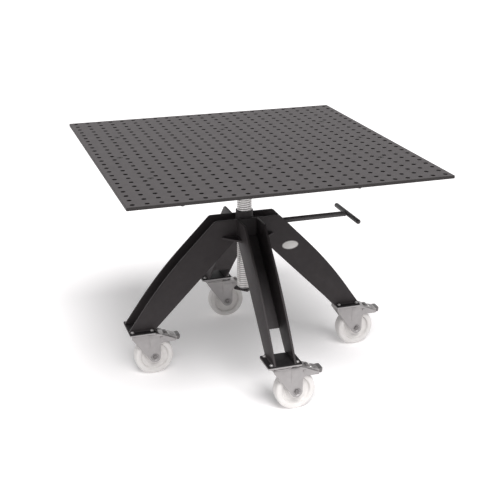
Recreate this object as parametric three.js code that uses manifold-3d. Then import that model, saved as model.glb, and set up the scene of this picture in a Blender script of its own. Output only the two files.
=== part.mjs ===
// Assembly table: a perforated steel plate on a screw column that stands on four swivel casters.
// Millimetres, +Z up. The origin is on the floor, under the column's axis; +X runs towards the clamp handle.
import * as THREE from 'three';
import { mergeGeometries, mergeVertices } from 'three/addons/utils/BufferGeometryUtils.js';
import Module from 'manifold-3d';

const wasm = await Module();
wasm.setup();

// Clearance between pieces that touch, and between pieces that turn in each other
const GAP = 0.3;
const RUNNING = 0.4;

// Table top and the bars and ribs under it
const TABLE_SIZE = 1200;
const TABLE_HEIGHT = 928;
const TABLE_THICK = 12;
const HOLE_ROWS = 24;
const HOLE_PITCH = 50;
const HOLE_RADIUS = 8;
const BAR_WIDTH = 100;
const BAR_THICK = 10;
const OUTER_BAR_Y = 300;
const OUTER_BAR_LENGTH = 1000;
const MIDDLE_BAR_LENGTH = 1100;
const RIB_THICK = 10;
const RIB_REACH = 494;
const RIB_BOTTOM = 828;

// Column: a trapezoidal screw with its head above, and an end stop below
const SPINDLE_RADIUS = 30;
const SPINDLE_BOTTOM = 332;
const HEAD_BOTTOM = 815;
const HEAD_RADIUS = 45;
const FLANGE_RADIUS = 100;
const FLANGE_THICK = 10;
const STOP_SIDE = 64;
const STOP_THICK = 9;
const STOP_SCREW_RADIUS = 7;
const STOP_SCREW_HEAD_RADIUS = 12;
const STOP_SCREW_HEAD = 8;
const STOP_CORNER = 3;

// Stand: four legs of twin plates in a cross, welded round the spindle nut
const LEG_GAP = 74;
const LEG_THICK = 8;
const LEG_INNER = LEG_GAP / 2;
const LEG_OUTER = LEG_INNER + LEG_THICK;
const HUB_TOP = 644;
const HUB_BOTTOM = 564;
const SHOULDER = { r: 137, z: HUB_TOP, bend: 18 };
const SHIN = { r: 358, z: 418, bend: 1700 };
const TOE_REACH = 502;
const HEEL_REACH = 392;
const FOOT_HEIGHT = 210;
const WEB_END_R = 324;
const WEB_THICK = 8;
const GUSSET_REACH = 111;
const GUSSET_BOTTOM = 567;
const GUSSET_THICK = 8;
const NUT_RADIUS = LEG_INNER - GAP;
const NUT_TOP = 669;
const NUT_COLLAR_RADIUS = 35;
const NUT_BOTTOM = 556;
const PLATE_LONG = 137;
const PLATE_SHORT = 105;

// Blank oval badge on the right leg
const BADGE = { x: 184, z: 510, half_length: 36, half_height: 19, thick: 1.5 };

// Clamp: a long screw with a T bar that presses a pad on the spindle
const CLAMP_Z = 604;
const CLAMP_RADIUS = 11.5;
const CLAMP_BAR_X = 455;
const CLAMP_BAR_RADIUS = 10.5;
const CLAMP_BAR_LENGTH = 244;
const PAD_RADIUS = 7;
const PAD_LENGTH = 9.5;
const BOSS = { x: 46, length: 26, height: 44 };

// Casters, measured from the swivel axis and the floor
const CASTER_REACH = 450;
const CASTER_HEIGHT = 205;
const CASTER_PLATE_THICK = 6;
const WHEEL_RADIUS = 80;
const WHEEL_HALF_WIDTH = 25;
const WHEEL_HUB = { radius: 22, half_width: 28 };
const WHEEL_DISC = { inner: 24, outer: 54, half_width: 16 };
const WHEEL_RIM = { inner: 59, outer: 74, tread_half: 19 };
const TRAIL = 55;
const CHEEK_INNER = 30;
const CHEEK_THICK = 5;
const CHEEK_OUTER = CHEEK_INNER + CHEEK_THICK;
const FORK_END_RADIUS = 23.5;
const CHEEK_BACK = -38;
const CHEEK_BACK_LOW = 170;
const FORK_END_PLAY = 0.01;
const HORN = { root: 84, root_top: 178, reach: 147, bottom: 142.5, tip: 145, tip_top: 151 };
const CROWN_BOTTOM = 179;
const CROWN_TOP = 185;
const CROWN_FRONT = 60;
const RACE_TOP = 192;
const RACE_RADIUS = 47;
const PLATE_RACE_RADIUS = 46;
const KING_PIN_RADIUS = 8;
const KING_NUT_RADIUS = 12;
const AXLE_RADIUS = 6;
const SLEEVE_RADIUS = 10;
const AXLE_HEAD = 8;
const PEDAL_PIVOT = { x: 84, z: 165, radius: 5 };
const PEDAL_HALF_WIDTH = 24;
const PEDAL_PIN_PROUD = 2;

// Side outline of the brake pedal as corners [x, z, bend]: toe, sole, tip, tread and heel
const PEDAL_OUTLINE = [
  [76, 160, 3],
  [98, 154, 4],
  [110, 151, 4],
  [140, 144, 6],
  [160, 140, 4],
  [168, 149, 4],
  [165, 160, 4],
  [147, 157, 6],
  [124, 164, 6],
  [112, 177, 5],
  [100, 179, 5],
  [96, 173, 3],
  [76, 176, 4],
];

// Facets of round pieces
const ROUND = 24;
const WHEEL_SIDES = 24;
const SMALL_ROUND = 12;
const HOLE_SIDES = 4;
const ARC_STEPS = 3;

const blackPaint = new THREE.MeshStandardMaterial({ color: 0x2b2929, roughness: 0.5, metalness: 0.3 });
const tableSteel = new THREE.MeshStandardMaterial({ color: 0x696564, roughness: 0.55, metalness: 0.7 });
const screwSteel = new THREE.MeshStandardMaterial({ color: 0xc4c2be, roughness: 0.35, metalness: 0.9 });
const zincSteel = new THREE.MeshStandardMaterial({ color: 0xaaa8a5, roughness: 0.4, metalness: 0.85 });
const wheelNylon = new THREE.MeshStandardMaterial({ color: 0xebe9e5, roughness: 0.45, metalness: 0 });
const badgeAluminium = new THREE.MeshStandardMaterial({ color: 0x8d8b89, roughness: 0.4, metalness: 0.8 });
const padBrass = new THREE.MeshStandardMaterial({ color: 0xb08d46, roughness: 0.4, metalness: 0.9 });

// Legs and corners, counted anticlockwise from +X
const LEG_NAMES = ['right', 'rear', 'left', 'front'];
const CORNER_NAMES = ['rear_right', 'rear_left', 'front_left', 'front_right'];

const table = new THREE.Group();

function piece(name, geometry, material, parent = table) {
  const mesh = new THREE.Mesh(geometry, material);
  mesh.name = name;
  parent.add(mesh);
  return mesh;
}

// A closed solid for joining and cutting
function toSolid(geometry) {
  const bare = geometry.clone();
  bare.deleteAttribute('normal');
  bare.deleteAttribute('uv');
  const merged = mergeVertices(bare, 1e-4);
  const vertProperties = Float32Array.from(merged.attributes.position.array);
  const triVerts = Uint32Array.from(merged.index.array);
  return new wasm.Manifold(new wasm.Mesh({ numProp: 3, vertProperties, triVerts }));
}

function toGeometry(solid) {
  const mesh = solid.getMesh();
  const geometry = new THREE.BufferGeometry();
  geometry.setAttribute('position', new THREE.BufferAttribute(mesh.vertProperties, 3));
  geometry.setIndex(new THREE.BufferAttribute(mesh.triVerts, 1));
  geometry.computeVertexNormals();
  return geometry;
}

function joined(...geometries) {
  return geometries.map(toSolid).reduce((whole, solid) => whole.add(solid));
}

function box(x0, x1, y0, y1, z0, z1) {
  const geometry = new THREE.BoxGeometry(x1 - x0, y1 - y0, z1 - z0);
  return geometry.translate((x0 + x1) / 2, (y0 + y1) / 2, (z0 + z1) / 2);
}

// An outline through corners [x, y, radius], each corner rounded by an arc of its radius
function roundedShape(corners) {
  const count = corners.length;
  const at = (i) => new THREE.Vector2(corners[(i + count) % count][0], corners[(i + count) % count][1]);
  const points = corners.flatMap(([, , radius], i) => {
    const corner = at(i);
    if (!radius) return [corner];
    const before = at(i - 1).sub(corner).normalize();
    const after = at(i + 1).sub(corner).normalize();
    const half = before.angleTo(after) / 2;
    const reach = radius / Math.tan(half);
    const centre = before.clone().add(after).setLength(radius / Math.sin(half)).add(corner);
    const first = before.multiplyScalar(reach).add(corner).sub(centre).angle();
    const last = after.multiplyScalar(reach).add(corner).sub(centre).angle();
    const sweep = Math.atan2(Math.sin(last - first), Math.cos(last - first));
    return Array.from({ length: ARC_STEPS + 1 }, (_, step) => {
      const angle = first + (sweep * step) / ARC_STEPS;
      return new THREE.Vector2(Math.cos(angle), Math.sin(angle)).multiplyScalar(radius).add(centre);
    });
  });
  return new THREE.Shape(points);
}

function roundHole(shape, x, y, radius) {
  shape.holes.push(new THREE.Path().absarc(x, y, radius, 0, 2 * Math.PI, true));
}

// A plate whose outline is drawn in x and z, between two y planes
function slabXZ(shape, y0, y1) {
  const options = { depth: y1 - y0, bevelEnabled: false, curveSegments: SMALL_ROUND / 2 };
  return new THREE.ExtrudeGeometry(shape, options).rotateX(Math.PI / 2).translate(0, y1, 0);
}

// A plate whose outline is drawn in x and y, between two z planes
function slabXY(shape, z0, z1) {
  const options = { depth: z1 - z0, bevelEnabled: false, curveSegments: SMALL_ROUND / 2 };
  return new THREE.ExtrudeGeometry(shape, options).translate(0, 0, z0);
}

// A turned piece about the y axis from profile points [radius, y], with a flat facing straight down
function turnedY(profile, sides) {
  const points = profile.map(([radius, y]) => new THREE.Vector2(radius, y));
  return new THREE.LatheGeometry(points, sides, Math.PI / sides);
}

function turnedZ(profile, sides) {
  return turnedY(profile, sides).rotateX(Math.PI / 2);
}

function turnedX(profile, sides) {
  return turnedY(profile, sides).rotateZ(-Math.PI / 2);
}

// A facet's middle lies at this radius when its corners lie on the returned one
function cornerRadius(flatRadius, sides) {
  return flatRadius / Math.cos(Math.PI / sides);
}

// Outer edge of a leg from the hub's top to the foot, as corners [r, z, bend]
const legOuterEdge = [
  [SHOULDER.r, SHOULDER.z, SHOULDER.bend],
  [SHIN.r, SHIN.z, SHIN.bend],
  [TOE_REACH, FOOT_HEIGHT, 0],
];

// Inner edge of a leg from the foot back to the hub's bottom
const legInnerEdge = [
  [HEEL_REACH, FOOT_HEIGHT, 0],
];

const mirrored = (corners) => corners.map(([r, z, bend]) => [-r, z, bend]).reverse();

// Long arch plates that carry the left and right legs in one piece
function addArchPlates() {
  const rightHalf = [...legOuterEdge, ...legInnerEdge, [LEG_OUTER, HUB_BOTTOM, 0]];
  const arch = roundedShape([...rightHalf, ...mirrored(rightHalf)]);
  piece('arch_plate_front', slabXZ(arch, -LEG_OUTER, -LEG_INNER), blackPaint);
  piece('arch_plate_rear', slabXZ(arch, LEG_INNER, LEG_OUTER), blackPaint);
}

// Leg plates of the front and back legs, which butt against the arch plates
function addLegPlates(name, leg) {
  const root = LEG_OUTER + GAP;
  const outline = roundedShape([[root, HUB_TOP, 0], ...legOuterEdge, ...legInnerEdge, [root, HUB_BOTTOM, 0]]);
  piece(`leg_plate_${name}_a`, slabXZ(outline, -LEG_OUTER, -LEG_INNER), blackPaint, leg);
  piece(`leg_plate_${name}_b`, slabXZ(outline, LEG_INNER, LEG_OUTER), blackPaint, leg);
}

// A flat strip between the two plates of a leg, from one point of an edge to another
function strip(from, to, thick) {
  const along = new THREE.Vector2(to.r - from.r, to.z - from.z).normalize();
  const inward = new THREE.Vector2(-along.y, along.x).multiplyScalar(thick);
  const shape = new THREE.Shape([
    new THREE.Vector2(from.r, from.z),
    new THREE.Vector2(to.r, to.z),
    new THREE.Vector2(to.r, to.z).add(inward),
    new THREE.Vector2(from.r, from.z).add(inward),
  ]);
  return slabXZ(shape, -LEG_INNER + GAP, LEG_INNER - GAP);
}

function addLegFillers(name, leg) {
  const slope = (FOOT_HEIGHT - HUB_BOTTOM) / (HEEL_REACH - LEG_OUTER);
  const webTop = { r: LEG_OUTER + GAP, z: HUB_BOTTOM };
  const webEnd = { r: WEB_END_R, z: HUB_BOTTOM + slope * (WEB_END_R - LEG_OUTER) };
  piece(`leg_web_${name}`, strip(webTop, webEnd, WEB_THICK), blackPaint, leg);
  const near = CASTER_REACH - PLATE_SHORT / 2;
  const far = CASTER_REACH + PLATE_SHORT / 2;
  const side = PLATE_LONG / 2;
  piece(`foot_plate_${name}`, box(near, far, -side, side, CASTER_HEIGHT, FOOT_HEIGHT), blackPaint, leg);
}

// Level triangles in the four corners between the legs
function addGusset(name, corner) {
  const root = LEG_OUTER + GAP;
  const shape = new THREE.Shape([
    new THREE.Vector2(root, root),
    new THREE.Vector2(GUSSET_REACH, root),
    new THREE.Vector2(root, GUSSET_REACH),
  ]);
  piece(`hub_gusset_${name}`, slabXY(shape, GUSSET_BOTTOM, GUSSET_BOTTOM + GUSSET_THICK), blackPaint, corner);
}

// The nut is a long sleeve with a turned-down collar and a side hole for the clamp pad
function addSpindleNut() {
  const bore = SPINDLE_RADIUS + RUNNING + GAP;
  const ring = [
    [bore, NUT_BOTTOM],
    [NUT_RADIUS, NUT_BOTTOM],
    [NUT_RADIUS, HUB_TOP],
    [NUT_COLLAR_RADIUS, HUB_TOP],
    [NUT_COLLAR_RADIUS, NUT_TOP],
    [bore, NUT_TOP],
    [bore, NUT_BOTTOM],
  ];
  const holeRadius = PAD_RADIUS + RUNNING;
  const hole = turnedX([[0, 0], [holeRadius, 0], [holeRadius, LEG_OUTER], [0, LEG_OUTER]], SMALL_ROUND);
  const nut = toSolid(turnedZ(ring, ROUND)).subtract(toSolid(hole.translate(0, 0, CLAMP_Z)));
  piece('spindle_nut', toGeometry(nut), blackPaint);
}

function addClamp() {
  const half = BOSS.height / 2;
  const bossHole = cornerRadius(CLAMP_RADIUS + RUNNING, SMALL_ROUND);
  const bossEnd = BOSS.x + BOSS.length;
  const block = box(BOSS.x, bossEnd, -NUT_RADIUS, NUT_RADIUS, CLAMP_Z - half, CLAMP_Z + half);
  const drill = turnedX([[0, 0], [bossHole, 0], [bossHole, 2 * bossEnd], [0, 2 * bossEnd]], SMALL_ROUND);
  const boss = toSolid(block).subtract(toSolid(drill.translate(0, 0, CLAMP_Z)));
  piece('clamp_boss', toGeometry(boss), blackPaint);

  const padFace = SPINDLE_RADIUS + 2 * GAP;
  const padBack = padFace + PAD_LENGTH;
  const padProfile = [[0, padFace], [PAD_RADIUS, padFace], [PAD_RADIUS, padBack], [0, padBack]];
  piece('clamp_pad', turnedX(padProfile, SMALL_ROUND).translate(0, 0, CLAMP_Z), padBrass);

  const rodStart = padBack + GAP;
  const rodEnd = CLAMP_BAR_X - CLAMP_BAR_RADIUS - GAP;
  const rodProfile = [[0, rodStart], [CLAMP_RADIUS, rodStart], [CLAMP_RADIUS, rodEnd], [0, rodEnd]];
  piece('clamp_rod', turnedX(rodProfile, SMALL_ROUND).translate(0, 0, CLAMP_Z), blackPaint);

  const tip = CLAMP_BAR_LENGTH / 2;
  const shoulder = tip - CLAMP_BAR_RADIUS / 2;
  const barProfile = [
    [0, -tip],
    [CLAMP_BAR_RADIUS / 2, -tip],
    [CLAMP_BAR_RADIUS, -shoulder],
    [CLAMP_BAR_RADIUS, shoulder],
    [CLAMP_BAR_RADIUS / 2, tip],
    [0, tip],
  ];
  piece('clamp_bar', turnedY(barProfile, SMALL_ROUND).translate(CLAMP_BAR_X, 0, CLAMP_Z), blackPaint);
}

function addBadge() {
  const shape = new THREE.Shape().absellipse(
    BADGE.x, BADGE.z, BADGE.half_length, BADGE.half_height, 0, 2 * Math.PI, false, 0);
  piece('badge', slabXZ(shape, -LEG_OUTER - BADGE.thick, -LEG_OUTER), badgeAluminium);
}

function addColumn() {
  const barBottom = TABLE_HEIGHT - TABLE_THICK - BAR_THICK;
  const flangeBottom = barBottom - FLANGE_THICK;
  const spindleTop = flangeBottom;
  const spindle = turnedZ(
    [[0, SPINDLE_BOTTOM + GAP], [SPINDLE_RADIUS, SPINDLE_BOTTOM + GAP], [SPINDLE_RADIUS, spindleTop - GAP],
      [0, spindleTop - GAP]], ROUND);
  piece('spindle', spindle, screwSteel);

  const socket = SPINDLE_RADIUS + GAP;
  const head = turnedZ(
    [[0, spindleTop], [socket, spindleTop], [socket, HEAD_BOTTOM], [HEAD_RADIUS, HEAD_BOTTOM],
      [HEAD_RADIUS, flangeBottom], [FLANGE_RADIUS, flangeBottom], [FLANGE_RADIUS, barBottom], [0, barBottom]],
    ROUND);
  piece('spindle_head', head, blackPaint);

  const half = STOP_SIDE / 2;
  const quarters = [[-half, -half], [half, -half], [half, half], [-half, half]];
  const stopShape = roundedShape(quarters.map(([x, y]) => [x, y, STOP_CORNER]));
  roundHole(stopShape, 0, 0, STOP_SCREW_RADIUS + RUNNING);
  const stop = piece('end_stop', slabXY(stopShape, SPINDLE_BOTTOM - STOP_THICK, SPINDLE_BOTTOM), blackPaint);
  stop.rotation.z = Math.PI / 4;

  const headTop = SPINDLE_BOTTOM - STOP_THICK - GAP;
  const headBottom = headTop - STOP_SCREW_HEAD;
  const screwProfile = [
    [0, headBottom],
    [STOP_SCREW_HEAD_RADIUS, headBottom],
    [STOP_SCREW_HEAD_RADIUS, headTop],
    [STOP_SCREW_RADIUS, headTop],
    [STOP_SCREW_RADIUS, SPINDLE_BOTTOM],
    [0, SPINDLE_BOTTOM],
  ];
  piece('stop_screw', turnedZ(screwProfile, SMALL_ROUND), screwSteel);
}

// Hole grid of the plate: four-sided prisms whose flats lie at the round hole's radius
function holeGrid() {
  const corner = cornerRadius(HOLE_RADIUS, HOLE_SIDES);
  const prism = new THREE.CylinderGeometry(corner, corner, 2 * TABLE_THICK, HOLE_SIDES).rotateX(Math.PI / 2);
  prism.rotateZ(Math.PI / HOLE_SIDES);
  const first = ((1 - HOLE_ROWS) * HOLE_PITCH) / 2;
  const level = TABLE_HEIGHT - TABLE_THICK / 2;
  const places = Array.from({ length: HOLE_ROWS * HOLE_ROWS }, (_, i) => {
    const column = i % HOLE_ROWS;
    const row = Math.floor(i / HOLE_ROWS);
    return prism.clone().translate(first + column * HOLE_PITCH, first + row * HOLE_PITCH, level);
  });
  return mergeGeometries(places);
}

function addTableTop() {
  const half = TABLE_SIZE / 2;
  const plateBottom = TABLE_HEIGHT - TABLE_THICK;
  const plate = toSolid(box(-half, half, -half, half, plateBottom, TABLE_HEIGHT));
  piece('top_plate', toGeometry(plate.subtract(toSolid(holeGrid()))), tableSteel);

  const barBottom = plateBottom - BAR_THICK;
  const bars = [
    ['front', -OUTER_BAR_Y, OUTER_BAR_LENGTH],
    ['middle', 0, MIDDLE_BAR_LENGTH],
    ['rear', OUTER_BAR_Y, OUTER_BAR_LENGTH],
  ];
  for (const [name, y, length] of bars) {
    const bar = box(-length / 2, length / 2, y - BAR_WIDTH / 2, y + BAR_WIDTH / 2, barBottom, plateBottom);
    piece(`support_bar_${name}`, bar, blackPaint);
  }
  addRibs(barBottom);
}

// Upright ribs on the diagonals, notched under the head's flange
function addRibs(barBottom) {
  const notch = FLANGE_RADIUS + 2 * GAP;
  const flangeBottom = barBottom - FLANGE_THICK;
  const root = HEAD_RADIUS + GAP;
  const outline = new THREE.Shape([
    new THREE.Vector2(root, RIB_BOTTOM),
    new THREE.Vector2(RIB_REACH, RIB_BOTTOM),
    new THREE.Vector2(RIB_REACH, barBottom - GAP),
    new THREE.Vector2(notch, barBottom - GAP),
    new THREE.Vector2(notch, flangeBottom - GAP),
    new THREE.Vector2(root, flangeBottom - GAP),
  ]);
  CORNER_NAMES.forEach((name, i) => {
    const rib = piece(`rib_${name}`, slabXZ(outline, -RIB_THICK / 2, RIB_THICK / 2), blackPaint);
    rib.rotation.z = Math.PI / 4 + (i * Math.PI) / 2;
  });
}

// Caster top plate with its ball race and king pin, bolted under a foot plate
function casterPlate(sizeX, sizeY) {
  const plateBottom = CASTER_HEIGHT - CASTER_PLATE_THICK;
  const plate = box(-sizeX / 2, sizeX / 2, -sizeY / 2, sizeY / 2, plateBottom, CASTER_HEIGHT);
  const nutTop = CROWN_BOTTOM - RUNNING;
  const nutBottom = nutTop - KING_NUT_RADIUS;
  const raceBottom = RACE_TOP + RUNNING;
  const pin = turnedZ(
    [[0, nutBottom], [KING_NUT_RADIUS, nutBottom], [KING_NUT_RADIUS, nutTop], [KING_PIN_RADIUS, nutTop],
      [KING_PIN_RADIUS, raceBottom], [PLATE_RACE_RADIUS, raceBottom], [PLATE_RACE_RADIUS, plateBottom + GAP],
      [0, plateBottom + GAP]], ROUND);
  return toGeometry(joined(plate, pin));
}

// Fork: two cheeks with horns beside the pedal, joined by a crown that carries the lower ball race
function casterFork() {
  const far = TRAIL + FORK_END_RADIUS;
  const low = WHEEL_RADIUS - FORK_END_RADIUS;
  const fall = CHEEK_BACK_LOW - WHEEL_RADIUS;
  const run = TRAIL - CHEEK_BACK;
  const slant = Math.atan2(fall, run) + Math.asin(FORK_END_RADIUS / Math.hypot(fall, run));
  const slantFoot = CHEEK_BACK + (CHEEK_BACK_LOW - low) / Math.tan(slant);
  const cheek = roundedShape([
    [CHEEK_BACK, CROWN_TOP, 0],
    [CHEEK_BACK, CHEEK_BACK_LOW, 4],
    [slantFoot, low, FORK_END_RADIUS],
    [far, low, FORK_END_RADIUS - FORK_END_PLAY],
    [far, HORN.bottom, 14],
    [HORN.reach, HORN.bottom, 5],
    [HORN.tip, HORN.tip_top, 3],
    [HORN.root, HORN.root_top, 6],
    [CROWN_FRONT, CROWN_TOP, 6],
  ]);
  roundHole(cheek, TRAIL, WHEEL_RADIUS, AXLE_RADIUS + RUNNING);
  roundHole(cheek, PEDAL_PIVOT.x, PEDAL_PIVOT.z, PEDAL_PIVOT.radius + RUNNING);
  const crown = box(CHEEK_BACK, CROWN_FRONT, -CHEEK_OUTER, CHEEK_OUTER, CROWN_BOTTOM, CROWN_TOP);
  const pinHole = KING_PIN_RADIUS + RUNNING;
  const dishBottom = CROWN_BOTTOM + GAP;
  const dishRadius = RACE_RADIUS - CHEEK_INNER / 2;
  const dishProfile = [
    [0, dishBottom],
    [dishRadius, dishBottom],
    [RACE_RADIUS, CROWN_TOP],
    [RACE_RADIUS, RACE_TOP],
    [0, RACE_TOP],
  ];
  const dish = turnedZ(dishProfile, ROUND);
  const drill = turnedZ([[0, 0], [pinHole, 0], [pinHole, CASTER_HEIGHT], [0, CASTER_HEIGHT]], SMALL_ROUND);
  const fork = joined(
    slabXZ(cheek, -CHEEK_OUTER, -CHEEK_INNER), slabXZ(cheek, CHEEK_INNER, CHEEK_OUTER), crown, dish);
  return toGeometry(fork.subtract(toSolid(drill)));
}

// Wheel with a recessed disc on both sides and a hub that is wider than the tread
function casterWheel() {
  const bore = SLEEVE_RADIUS + RUNNING;
  const tread = cornerRadius(WHEEL_RADIUS, WHEEL_SIDES);
  const side = [
    [bore, WHEEL_HUB.half_width],
    [WHEEL_HUB.radius, WHEEL_HUB.half_width],
    [WHEEL_DISC.inner, WHEEL_DISC.half_width],
    [WHEEL_DISC.outer, WHEEL_DISC.half_width],
    [WHEEL_RIM.inner, WHEEL_HALF_WIDTH],
    [WHEEL_RIM.outer, WHEEL_HALF_WIDTH],
    [tread, WHEEL_RIM.tread_half],
  ];
  const lower = side.map(([radius, y]) => [radius, -y]);
  return turnedY([...lower, ...side.reverse(), lower[0]], WHEEL_SIDES);
}

// Axle bolt with its spacer sleeve, head and nut
function casterAxle() {
  const sleeve = CHEEK_INNER - RUNNING;
  const clamp = CHEEK_OUTER + GAP;
  const tip = clamp + AXLE_HEAD;
  const half = [
    [0, tip],
    [SLEEVE_RADIUS, tip],
    [SLEEVE_RADIUS, clamp],
    [AXLE_RADIUS, clamp],
    [AXLE_RADIUS, sleeve],
    [SLEEVE_RADIUS, sleeve],
  ];
  const lower = half.map(([radius, y]) => [radius, -y]);
  return turnedY([...lower, ...half.reverse()], SMALL_ROUND);
}

// Brake pedal on a cross pin between the cheeks, with its toe above the tread
function brakePedal() {
  const lever = slabXZ(roundedShape(PEDAL_OUTLINE), -PEDAL_HALF_WIDTH, PEDAL_HALF_WIDTH);
  const reach = CHEEK_OUTER + PEDAL_PIN_PROUD;
  const { x, z, radius } = PEDAL_PIVOT;
  const pin = turnedY([[0, -reach], [radius, -reach], [radius, reach], [0, reach]], SMALL_ROUND);
  return toGeometry(joined(lever, pin.translate(x, 0, z)));
}

function addCaster(name, x, y, plateX, plateY) {
  const caster = new THREE.Group();
  caster.position.set(x, y, 0);
  table.add(caster);
  piece(`caster_plate_${name}`, casterPlate(plateX, plateY), zincSteel, caster);
  piece(`fork_${name}`, casterFork(), zincSteel, caster);
  piece(`wheel_${name}`, casterWheel(), wheelNylon, caster).position.set(TRAIL, 0, WHEEL_RADIUS);
  piece(`axle_${name}`, casterAxle(), zincSteel, caster).position.set(TRAIL, 0, WHEEL_RADIUS);
  piece(`brake_pedal_${name}`, brakePedal(), zincSteel, caster);
}

addTableTop();
addColumn();
addArchPlates();
addSpindleNut();
addClamp();
addBadge();
LEG_NAMES.forEach((name, i) => {
  const turn = (i * Math.PI) / 2;
  const leg = new THREE.Group();
  leg.rotation.z = turn;
  table.add(leg);
  const crosswise = i % 2 === 1;
  if (crosswise) addLegPlates(name, leg);
  addLegFillers(name, leg);
  addGusset(CORNER_NAMES[i], leg);
  const [plateX, plateY] = crosswise ? [PLATE_LONG, PLATE_SHORT] : [PLATE_SHORT, PLATE_LONG];
  addCaster(name, CASTER_REACH * Math.cos(turn), CASTER_REACH * Math.sin(turn), plateX, plateY);
});

export default table;
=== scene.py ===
"""Assembly table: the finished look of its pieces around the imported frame. Metres, +Z up."""
import math

import bmesh
import bpy
from mathutils import Matrix, Vector


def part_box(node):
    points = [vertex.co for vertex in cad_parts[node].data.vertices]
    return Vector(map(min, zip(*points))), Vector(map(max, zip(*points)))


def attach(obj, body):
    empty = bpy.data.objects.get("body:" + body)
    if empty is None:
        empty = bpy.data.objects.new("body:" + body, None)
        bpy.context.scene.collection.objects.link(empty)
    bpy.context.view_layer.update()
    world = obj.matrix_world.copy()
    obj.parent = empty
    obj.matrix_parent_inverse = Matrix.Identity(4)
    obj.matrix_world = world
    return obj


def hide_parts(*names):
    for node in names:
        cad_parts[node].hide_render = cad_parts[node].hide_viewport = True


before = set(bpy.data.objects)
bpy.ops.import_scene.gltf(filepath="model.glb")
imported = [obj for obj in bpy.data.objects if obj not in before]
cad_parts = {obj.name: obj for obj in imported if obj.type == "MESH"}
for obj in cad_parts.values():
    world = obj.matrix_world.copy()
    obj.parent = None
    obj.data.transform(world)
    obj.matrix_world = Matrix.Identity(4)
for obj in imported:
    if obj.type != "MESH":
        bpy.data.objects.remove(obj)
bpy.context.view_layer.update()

LEGS = ["right", "rear", "left", "front"]
CORNERS = ["rear_right", "rear_left", "front_left", "front_right"]
BARS = ["front", "middle", "rear"]
QUARTERS = [(1, 1), (-1, 1), (-1, -1), (1, -1)]

# Facets of round pieces and of rounded corners
ROUND = 64
SMALL_ROUND = 32
ARC_STEPS = 10

# Rounded edges: which ones, in how many steps and how wide
SHARP_ANGLE = math.radians(32)
BEVEL_STEPS = 3
FINE_STEPS = 2
BOLT_BEVEL = 0.0003
TRIM_BEVEL = 0.0004
PLATE_BEVEL = 0.0006
BODY_BEVEL = 0.0008
TIP_BEVEL = 0.0012

# Tolerances, how far cutting forms reach, and the clearance of moving pieces
SLIVER = 0.0001
MERGE = 1e-6
CUT_DISTANCE = 1e-7
FLAT_ANGLE = 0.001
KEY_DIGITS = 6
CUT_PAST = 0.01
CUT_REACH = 0.3
RUNNING = 0.0004

# Table top: holes, edges and the countersunk screws that hold it on its bars
HOLE_PITCH = 0.05
HOLE_RADIUS = 0.008
HOLE_CHAMFER = 0.0008
HOLE_QUARTER_STEPS = 6
CHORD_SLACK = 1.05
CELL_FIRST_CORNER = math.radians(225)
PLATE_CHAMFER = 0.0012
FLAT_FACE = 0.9
SCREW_RADIUS = 0.011
SCREW_RIM = 0.0005
SCREW_DEPTH = 0.0055
SOCKET_RADIUS = 0.0052
SOCKET_DEPTH = 0.004
SCREWS_ON_OUTER_BARS = [-0.45, 0.0, 0.45]
SCREWS_ON_MIDDLE_BAR = [-0.5, 0.5]

# Column thread, cut from the spindle's full radius
THREAD_PITCH = 0.009
THREAD_DEPTH = 0.0042
THREAD_CREST = 0.36
THREAD_FLANK = 0.13
THREAD_SIDES = 48
THREAD_CLEARANCE = 0.0007
GROOVE_SHARE = 0.9

# Column head, its rib welds, the stop bolt and the nut's collar
HEAD_TUBE_RADIUS = 0.045
FLANGE_THICK = 0.01
RIB_WELD_RADIUS = 0.0035
RIB_WELD_DROP = 0.011
RIB_HALF_THICK = 0.005
STOP_HEX_SHARE = 0.92
STOP_HEAD = 0.008
NUT_COLLAR_RADIUS = 0.035

# Leg outline in the plane of a leg, as corners (reach, height, bend)
HUB_TOP = 0.644
HUB_BOTTOM = 0.564
LEG_OUTER_EDGE = [(0.137, HUB_TOP, 0.018), (0.358, 0.418, 1.7), (0.502, 0.21, 0.0)]
LEG_INNER_EDGE = [(0.392, 0.21, 0.0)]
LEG_INNER = 0.037
LEG_OUTER = 0.045
LEG_GAP = 0.0003

# Weld beads: their section, ripples and tapered ends, and how far they stop short of an edge
WELD_RADIUS = 0.0042
WELD_SIDES = 10
WELD_RIPPLE = 0.0028
WELD_DIP = 0.86
WELD_TIP = 0.08
WELD_TAPER = 4
WELD_STOP = 0.004
GUSSET_WELD_STOP = 0.006

# Blank oval badge
BADGE_RIM = 0.0025
BADGE_GAP = 0.0001
BADGE_SINK = 0.0004

# Foot plates, and their bolts across and along the plate
FOOT_CORNER = 0.006
FOOT_BOLT_ACROSS = 0.0525
FOOT_BOLT_ALONG = 0.04
BOLT_RADIUS = 0.0072
BOLT_HEAD = 0.0056
BOLT_DOME_INSET = 0.0006
BOLT_RIM_SHARE = 0.25
WASHER_RIM = 0.0002
WASHER_THICK = 0.0014

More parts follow.
